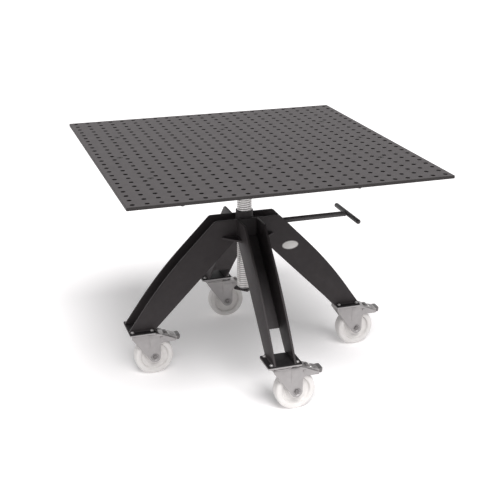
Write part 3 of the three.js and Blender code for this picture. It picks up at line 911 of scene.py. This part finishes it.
def build_welds():
    """Beads along the feet of the legs, and round the gussets in the hub's corners."""
    foot_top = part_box("foot_plate_right")[1].z
    toe = LEG_OUTER_EDGE[-1][0] - WELD_STOP
    heel = LEG_INNER_EDGE[0][0]
    gusset_low, gusset_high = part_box("hub_gusset_rear_right")
    edge = LEG_OUTER + LEG_GAP
    reach = gusset_high.x - GUSSET_WELD_STOP
    for i, (name, corner) in enumerate(zip(LEGS, CORNERS)):
        turn = i * math.pi / 2
        beads = [weld_bead((heel, y, foot_top), (toe, y, foot_top)) for y in (-LEG_OUTER, LEG_OUTER)]
        add_form(f"foot_weld_{name}", rotated(joined(*beads), turn, "Z"), "black_paint", "stand")
        beads = []
        for x, y in ((reach, edge), (edge, reach)):
            beads += [weld_bead((edge, edge, z), (x, y, z)) for z in (gusset_low.z, gusset_high.z)]
        beads.append(weld_bead((edge, edge, gusset_high.z), (edge, edge, HUB_TOP - WELD_STOP)))
        add_form(f"hub_weld_{corner}", rotated(joined(*beads), turn, "Z"), "black_paint", "stand")


def build_rib_welds():
    """Beads where the ribs meet the column head."""
    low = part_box("rib_rear_right")[0].z
    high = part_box("spindle_head")[1].z - RIB_WELD_DROP
    tube = HEAD_TUBE_RADIUS
    for i, name in enumerate(CORNERS):
        turn = math.pi / 4 + i * math.pi / 2
        beads = [weld_bead((tube, y, low), (tube, y, high), RIB_WELD_RADIUS)
                 for y in (-RIB_HALF_THICK, RIB_HALF_THICK)]
        add_form(f"rib_weld_{name}", rotated(joined(*beads), turn, "Z"), "black_paint", "table_top")


def build_badge():
    """A blank oval badge: a rim that stands round a slightly sunk face."""
    low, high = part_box("badge")
    centre = (low + high) / 2
    half_x = (high.x - low.x) / 2
    half_z = (high.z - low.z) / 2

    def oval(inset):
        angles = [2 * math.pi * k / ROUND for k in range(ROUND)]
        return [(centre.x + (half_x - inset) * math.cos(a), centre.z + (half_z - inset) * math.sin(a))
                for a in angles]

    opening = extruded(oval(BADGE_RIM), low.y - CUT_PAST, high.y + CUT_PAST)
    rim = combined(extruded(oval(0), low.y, high.y), [opening], "DIFFERENCE")
    add_form("badge_ring", rim, "badge_rim", "stand", ["badge"], TRIM_BEVEL, FINE_STEPS)
    face = extruded(oval(BADGE_RIM + BADGE_GAP), low.y + BADGE_SINK, high.y)
    add_form("badge_blank", face, "badge_face", "stand", bevel=TRIM_BEVEL / 2, steps=FINE_STEPS)


def build_clamp_rod():
    """The clamp screw: its thread, the plain rod and a collar at the handle."""
    low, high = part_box("clamp_rod")
    radius = high.y
    thread = threaded(radius - CLAMP_THREAD_STEP, CLAMP_THREAD_DEPTH, CLAMP_THREAD_PITCH, low.x,
                      CLAMP_THREAD_END + CLAMP_THREAD_PITCH, SMALL_ROUND)
    plain = pin_form(radius, CLAMP_THREAD_END, high.x)
    root = high.x - CLAMP_COLLAR_LONG
    swell = radius * CLAMP_COLLAR_SWELL
    collar = turned([(0, root), (radius, root), (swell, high.x), (0, high.x)], SMALL_ROUND)
    form = moved(rotated(joined(thread, plain, collar), math.pi / 2, "Y"), z=CLAMP_Z)
    add_form("clamp_screw_rod", form, "rod_paint_painted_light", "clamp_screw", ["clamp_rod"])


def build_clamp_handle():
    """The T bar with domed ends, and the pad that the clamp screw presses on the spindle."""
    low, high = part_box("clamp_bar")
    radius = (high.z - low.z) / 2
    dome = dome_profile(radius, high.y - radius, high.y, ARC_STEPS)
    profile = dome + [(r, -h) for r, h in reversed(dome)]
    form = moved(turned(profile, SMALL_ROUND, "Y"), (low.x + high.x) / 2, 0, CLAMP_Z)
    add_form("clamp_handle", form, "rod_paint_painted_light", "clamp_screw", ["clamp_bar"])

    low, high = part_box("clamp_pad")
    form = moved(pin_form(high.y, low.x, high.x, "X"), z=CLAMP_Z)
    add_form("pad_button", form, "pad_brass", "clamp_slide", ["clamp_pad"], BODY_BEVEL)


def dress_plain_nodes():
    """Plates whose CAD shape is right keep it, with softened edges and the paint."""
    plain = [f"support_bar_{bar}" for bar in BARS]
    plain += [f"rib_{corner}" for corner in CORNERS]
    plain += [f"hub_gusset_{corner}" for corner in CORNERS]
    plain += [f"leg_web_{leg}" for leg in LEGS]
    plain += ["clamp_boss", "end_stop"]
    for name in plain:
        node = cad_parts[name]
        node.data.materials.clear()
        node.data.materials.append(FINISH["black_paint"])
        soften = node.modifiers.new("soften", "BEVEL")
        soften.width = PLATE_BEVEL
        soften.segments = BEVEL_STEPS
        soften.limit_method = "ANGLE"
        soften.angle_limit = SHARP_ANGLE


def fork_channel():
    """The fork's plate, bent over the wheel and open in front of the crown."""
    form = extruded(rounded(FORK_OUTLINE), -CHEEK_OUTER, CHEEK_OUTER)
    top = [edge for edge in level_edges(form, CROWN_TOP) if edge.calc_length() > CROWN_SPAN]
    bevel_edges(form, top, CROWN_BEND, CROWN_STEPS)
    low_edge = [(-CHEEK_INNER, 0.0, 0.0), (CHEEK_INNER, 0.0, 0.0)]
    roof = [(CHEEK_INNER, CROWN_BOTTOM, TUNNEL_BEND), (-CHEEK_INNER, CROWN_BOTTOM, TUNNEL_BEND)]
    tunnel = rounded([*low_edge, *roof], steps=4)
    wheel_space = [
        extruded(tunnel, -CUT_REACH, CUT_REACH, "X"),
        block(CROWN_FRONT, CUT_REACH, -CHEEK_INNER, CHEEK_INNER, 0.0, CUT_REACH),
    ]
    return combined(form, wheel_space, "DIFFERENCE")


def axle_seats():
    """Cups that stand in from the cheeks round the axle, and the dishes cut into them from outside."""
    cup_end = DISH_FLOOR - CHEEK_OUTER + CHEEK_INNER
    cup_root = CHEEK_INNER + CUP_OVERLAP
    dish_end = CHEEK_OUTER + CUT_PAST
    cup = [(0, cup_end), (DISH_RADIUS, cup_end), (DISH_RADIUS + DISH_FLARE, cup_root), (0, cup_root)]
    dish = [(0, DISH_FLOOR), (DISH_RADIUS - DISH_FLARE, DISH_FLOOR), (DISH_RADIUS, CHEEK_OUTER),
            (DISH_RADIUS, dish_end), (0, dish_end)]
    cups = []
    dishes = []
    for side in (-1, 1):
        for profile, forms in ((cup, cups), (dish, dishes)):
            solid = turned([(radius, side * y) for radius, y in profile], 2 * SMALL_ROUND, "Y")
            forms.append(moved(solid, TRAIL, 0, AXLE_HEIGHT))
    return cups, dishes


def fork_mesh():
    """A pressed fork with dished axle seats and the holes of its pins."""
    cups, dishes = axle_seats()
    form = combined(fork_channel(), cups, "UNION")
    axle_drill = rotated(pin_form(AXLE_HOLE, -CUT_REACH, CUT_REACH, "Y"), AXLE_HOLE_TURN, "Y")
    pedal_drill = pin_form(PEDAL_PIN_RADIUS + RUNNING, -CUT_REACH, CUT_REACH, "Y")
    holes = [
        *dishes,
        moved(axle_drill, TRAIL, 0, AXLE_HEIGHT),
        moved(pedal_drill, PEDAL_PIVOT[0], 0, PEDAL_PIVOT[1]),
        pin_form(KING_PIN_RADIUS + RUNNING, 0.0, CUT_REACH),
    ]
    form = combined(form, holes, "DIFFERENCE")
    bmesh.ops.recalc_face_normals(form, faces=form.faces)
    rims = [edge for edge in form.edges if is_sharp(edge) and off_axle_seat(edge)]
    bevel_edges(form, rims, PLATE_BEVEL, FINE_STEPS)
    return to_mesh("fork_shell", form)


def off_axle_seat(edge):
    """Whether an edge of the fork lies outside the dished seats of its axle."""
    middle = (edge.verts[0].co + edge.verts[1].co) / 2
    return math.dist((middle.x, middle.z), (TRAIL, AXLE_HEIGHT)) > AXLE_SEAT


def crease_mesh():
    """Pressed stiffening crease down the middle of each cheek."""
    rib = rectangle(*CREASE_X, *CREASE_Z, CREASE_BEND, steps=4)
    forms = []
    for side in (-1, 1):
        low, high = sorted((side * (CHEEK_OUTER - CREASE_SINK), side * (CHEEK_OUTER + CREASE_HEIGHT)))
        forms.append(extruded(rib, low, high))
    return to_mesh("fork_crease", joined(*forms), BODY_BEVEL, FINE_STEPS)


def race_mesh():
    """Lower ball race: a pressed bowl under the top plate, with a rolled lip."""
    bowl = [(radius, CROWN_BOTTOM + height) for radius, height in RACE_BOWL]
    rim = RACE_BOWL[-1][0]
    lip = [(rim, RACE_TOP - RACE_LIP_DOWN), (rim - RACE_LIP_ACROSS, RACE_TOP)]
    profile = [(RACE_BORE, CROWN_TOP), *bowl, *lip, (RACE_BORE, RACE_TOP)]
    return to_mesh("ball_race", turned(profile))


def caster_plate_mesh(half_x, half_y):
    """Caster top plate with rounded corners, its upper race and the king pin's nut."""
    outline = rectangle(-half_x, half_x, -half_y, half_y, CASTER_CORNER, steps=5)
    plate = extruded(outline, CASTER_PLATE_BOTTOM, CASTER_PLATE_TOP, "Z")
    race_low = RACE_TOP + RUNNING
    nut_top = CROWN_BOTTOM - RUNNING
    nut_low = nut_top - KING_NUT_RADIUS
    pin_low = nut_low + KING_PIN_SHORT
    pin = turned([(0, pin_low), (KING_PIN_RADIUS, pin_low), (KING_PIN_RADIUS, race_low),
                  (UPPER_RACE_RADIUS - UPPER_RACE_CHAMFER, race_low),
                  (UPPER_RACE_RADIUS, race_low + UPPER_RACE_CHAMFER),
                  (UPPER_RACE_RADIUS, CASTER_PLATE_BOTTOM), (0, CASTER_PLATE_BOTTOM)])
    nut = rotated(hexagon(KING_NUT_RADIUS, -nut_top, -nut_low), math.pi, "X")
    return to_mesh("caster_top", joined(plate, pin, nut), PLATE_BEVEL, FINE_STEPS)


def wheel_mesh():
    """A solid nylon wheel with a crowned tread, a rim ring and a recessed disc round its hub."""
    profile = WHEEL_SIDE + [(r, -y) for r, y in reversed(WHEEL_SIDE)]
    return to_mesh("wheel_cast", turned(profile, ROUND, "Y"))


def axle_mesh():
    """Axle bolt: a sleeve in the hub, and a washer and hexagon in each dish."""
    seat = DISH_FLOOR + AXLE_SLACK
    sleeve_end = DISH_FLOOR - CHEEK_OUTER + CHEEK_INNER - RUNNING
    forms = [pin_form(AXLE_SLEEVE_RADIUS, -sleeve_end, sleeve_end)]
    for side in (0, math.pi):
        washer = pin_form(AXLE_WASHER_RADIUS, seat, seat + AXLE_WASHER_THICK)
        head = hexagon(AXLE_HEX_RADIUS, seat + AXLE_WASHER_THICK, seat + AXLE_HEAD)
        forms.append(rotated(joined(washer, head), side, "X"))
    form = rotated(joined(*forms), math.pi / 2, "X")
    return to_mesh("axle_bolt", form, TRIM_BEVEL, FINE_STEPS)


def pedal_plan(x0, x1, bend):
    """Upright prism over the pedal's plan between two x planes, with the far corners rounded."""
    half = PEDAL_HALF_WIDTH
    plan = rounded([(x0, -half, 0.0), (x1, -half, bend), (x1, half, bend), (x0, half, 0.0)], steps=8)
    return extruded(plan, *PEDAL_SPAN_Z, "Z")


def pedal_side(half):
    """The pedal's side outline as a solid of a half width."""
    return extruded(rounded(PEDAL_OUTLINE, steps=6), -half, half)


def pedal_mesh():
    """Brake pedal: a pressed lever, hollow below, with tread ribs and its cross pin."""
    lever = combined(pedal_side(PEDAL_HALF_WIDTH), [pedal_plan(0.0, PEDAL_TIP_X, 0.0)], "INTERSECT")
    inner = PEDAL_HALF_WIDTH - PEDAL_WALL
    hollow = moved(pedal_side(inner), z=-PEDAL_WALL)
    hollow = combined(hollow, [pedal_plan(PEDAL_HOLLOW_X, PEDAL_END, 0.0)], "INTERSECT")
    forms = [softened(combined(lever, [hollow], "DIFFERENCE"), BODY_BEVEL)]
    for x, z in TREAD_RIBS:
        rib = softened(pin_form(TREAD_RIB_RADIUS, -inner, inner, "Y"), TRIM_BEVEL, FINE_STEPS)
        forms.append(moved(rib, x, 0, z))
    reach = CHEEK_OUTER + PEDAL_PIN_PAST
    pin = softened(pin_form(PEDAL_PIN_RADIUS, -reach, reach, "Y"), TRIM_BEVEL, FINE_STEPS)
    forms.append(moved(pin, PEDAL_PIVOT[0], 0, PEDAL_PIVOT[1]))
    return to_mesh("brake_lever", joined(*forms))


def pedal_screws_mesh():
    """Round screw heads on the pedal's tread."""
    dome = dome_profile(PEDAL_SCREW_RADIUS, 0.0, PEDAL_SCREW_HEIGHT, PEDAL_SCREW_STEPS)
    profile = [(0, -PEDAL_SCREW_SINK), (PEDAL_SCREW_RADIUS, -PEDAL_SCREW_SINK), *dome]
    forms = []
    for x, y, z in PEDAL_SCREWS:
        head = turned(profile, PEDAL_SCREW_SIDES)
        forms.append(moved(rotated(head, TREAD_SLOPE, "Y"), x, y, z))
    return to_mesh("pedal_screws", joined(*forms))


def pedal_tip_mesh():
    """Turned-up round foot end of the pedal, and the release lug on its back."""
    plan = pedal_plan(PEDAL_TIP_X, PEDAL_END, PEDAL_TIP_BEND)
    form = combined(pedal_side(PEDAL_HALF_WIDTH), [plan], "INTERSECT")
    lug = extruded(rounded(PEDAL_LUG, steps=5), -PEDAL_LUG_HALF_WIDTH, PEDAL_LUG_HALF_WIDTH)
    return to_mesh("pedal_tip", joined(form, lug), TIP_BEVEL)


def foot_bolt_mesh(top, bottom):
    """A bolt through the foot plate and the caster's plate, with a washer, a domed head and a nut."""
    head_low = top + WASHER_THICK
    washer = pin_form(BOLT_RADIUS + WASHER_RIM, top, head_low)
    radius = BOLT_RADIUS - BOLT_DOME_INSET
    dome = dome_profile(radius, head_low + BOLT_HEAD * BOLT_RIM_SHARE, head_low + BOLT_HEAD, ARC_STEPS)
    head = turned([(0, head_low), (radius, head_low), *dome], SMALL_ROUND)
    nut = rotated(hexagon(BOLT_RADIUS, -bottom, -bottom + BOLT_HEAD), math.pi, "X")
    return to_mesh("foot_bolt", joined(washer, head, nut), BOLT_BEVEL, FINE_STEPS)


def build_casters():
    """Four casters, each with the same pieces round its swivel axis."""
    swivel = (0, 0)
    hub = (TRAIL, AXLE_HEIGHT)
    # Name, mesh, finish, body, CAD node and place (x, z) of each piece
    pieces = [
        ("fork_shell", fork_mesh(), "zinc_steel", "caster", "fork", swivel),
        ("fork_crease", crease_mesh(), "zinc_steel", "caster", None, swivel),
        ("ball_race", race_mesh(), "zinc_steel", "caster", None, swivel),
        ("wheel_cast", wheel_mesh(), "wheel_nylon", "wheel", "wheel", hub),
        ("axle_bolt", axle_mesh(), "bolt_steel", "caster", "axle", hub),
        ("brake_lever", pedal_mesh(), "lever_zinc", "pedal", "brake_pedal", swivel),
        # The pedal's end takes a darker zinc as painted shade.
        ("pedal_tip", pedal_tip_mesh(), "pedal_tip_shade_zinc", "pedal", None, swivel),
        ("pedal_screws", pedal_screws_mesh(), "bright_zinc", "pedal", None, swivel),
    ]
    bolt = foot_bolt_mesh(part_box("foot_plate_right")[1].z, CASTER_PLATE_BOTTOM)
    for i, name in enumerate(LEGS):
        low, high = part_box(f"caster_plate_{name}")
        x, y = (low.x + high.x) / 2, (low.y + high.y) / 2
        top = caster_plate_mesh((high.x - low.x) / 2, (high.y - low.y) / 2)
        add_piece(f"caster_top_{name}", top, "zinc_steel", "stand", [f"caster_plate_{name}"], (x, y, 0))
        for piece, mesh, finish, body, node, (ahead, up) in pieces:
            replaced = [f"{node}_{name}"] if node else []
            add_piece(f"{piece}_{name}", mesh, finish, f"{body}_{name}", replaced, (x + ahead, y, up))
        crosswise = i % 2 == 1
        reach_x = FOOT_BOLT_ACROSS if crosswise else FOOT_BOLT_ALONG
        reach_y = FOOT_BOLT_ALONG if crosswise else FOOT_BOLT_ACROSS
        for k, (sx, sy) in enumerate(QUARTERS):
            place = (x + sx * reach_x, y + sy * reach_y, 0)
            add_piece(f"foot_bolt_{name}_{k + 1}", bolt, "zinc_steel", "stand", place=place)


def seen_level(tree, lit, seen):
    """One strength for the light that falls on the object, another for what is seen or mirrored."""
    rays = tree.nodes.new("ShaderNodeLightPath")
    either = rays.outputs["Is Camera Ray"]
    for kind in ("Is Glossy Ray", "Is Transmission Ray"):
        larger = tree.nodes.new("ShaderNodeMath")
        larger.operation = "MAXIMUM"
        tree.links.new(either, larger.inputs[0])
        tree.links.new(rays.outputs[kind], larger.inputs[1])
        either = larger.outputs["Value"]
    level = tree.nodes.new("ShaderNodeMapRange")
    level.inputs["To Min"].default_value = lit
    level.inputs["To Max"].default_value = seen
    tree.links.new(either, level.inputs["Value"])
    return level.outputs["Result"]


def build_floor():
    """A wide pale floor that takes the shadows."""
    form = bmesh.new()
    form.faces.new([form.verts.new((sx * FLOOR_REACH, sy * FLOOR_REACH, 0.0)) for sx, sy in QUARTERS])
    mesh = plain_mesh("floor", form)
    paper = bpy.data.materials.new("floor_paper")
    paper.use_nodes = True
    shader = paper.node_tree.nodes["Principled BSDF"]
    shader.inputs["Base Color"].default_value = FLOOR_COLOUR
    shader.inputs["Roughness"].default_value = 1.0
    shader.inputs["Specular IOR Level"].default_value = 0.0
    shader.inputs["Emission Color"].default_value = WHITE
    shader.inputs["Emission Strength"].default_value = FLOOR_LIFT
    mesh.materials.append(paper)
    floor = linked("floor", mesh)


def build_light():
    """An even sky with one broad key light."""
    world = bpy.data.worlds.new("studio")
    world.use_nodes = True
    bpy.context.scene.world = world
    tree = world.node_tree
    sky = tree.nodes["Background"]
    sky.inputs["Color"].default_value = WHITE
    tree.links.new(seen_level(tree, WORLD_LIGHT, WORLD_SEEN), sky.inputs["Strength"])

    key = bpy.data.lights.new("key", "SUN")
    key.energy = KEY_STRENGTH
    key.angle = KEY_SPREAD
    lamp = linked("key", key)
    lamp.rotation_euler = (KEY_TILT, 0, KEY_TURN)


def build_camera():
    lens = bpy.data.cameras.new("camera")
    lens.lens = CAMERA_LENS
    camera = linked("camera", lens)
    camera.location = CAMERA_PLACE
    camera.rotation_euler = (CAMERA_TILT, 0, CAMERA_TURN)
    bpy.context.scene.camera = camera


bpy.context.scene.view_settings.view_transform = "Standard"
build_top_plate()
build_spindle()
build_column_head()
build_stop_bolt()
build_nut()
build_leg_plates()
build_foot_plates()
build_welds()
build_rib_welds()
build_badge()
build_clamp_rod()
build_clamp_handle()
dress_plain_nodes()
build_casters()
build_floor()
build_light()
build_camera()
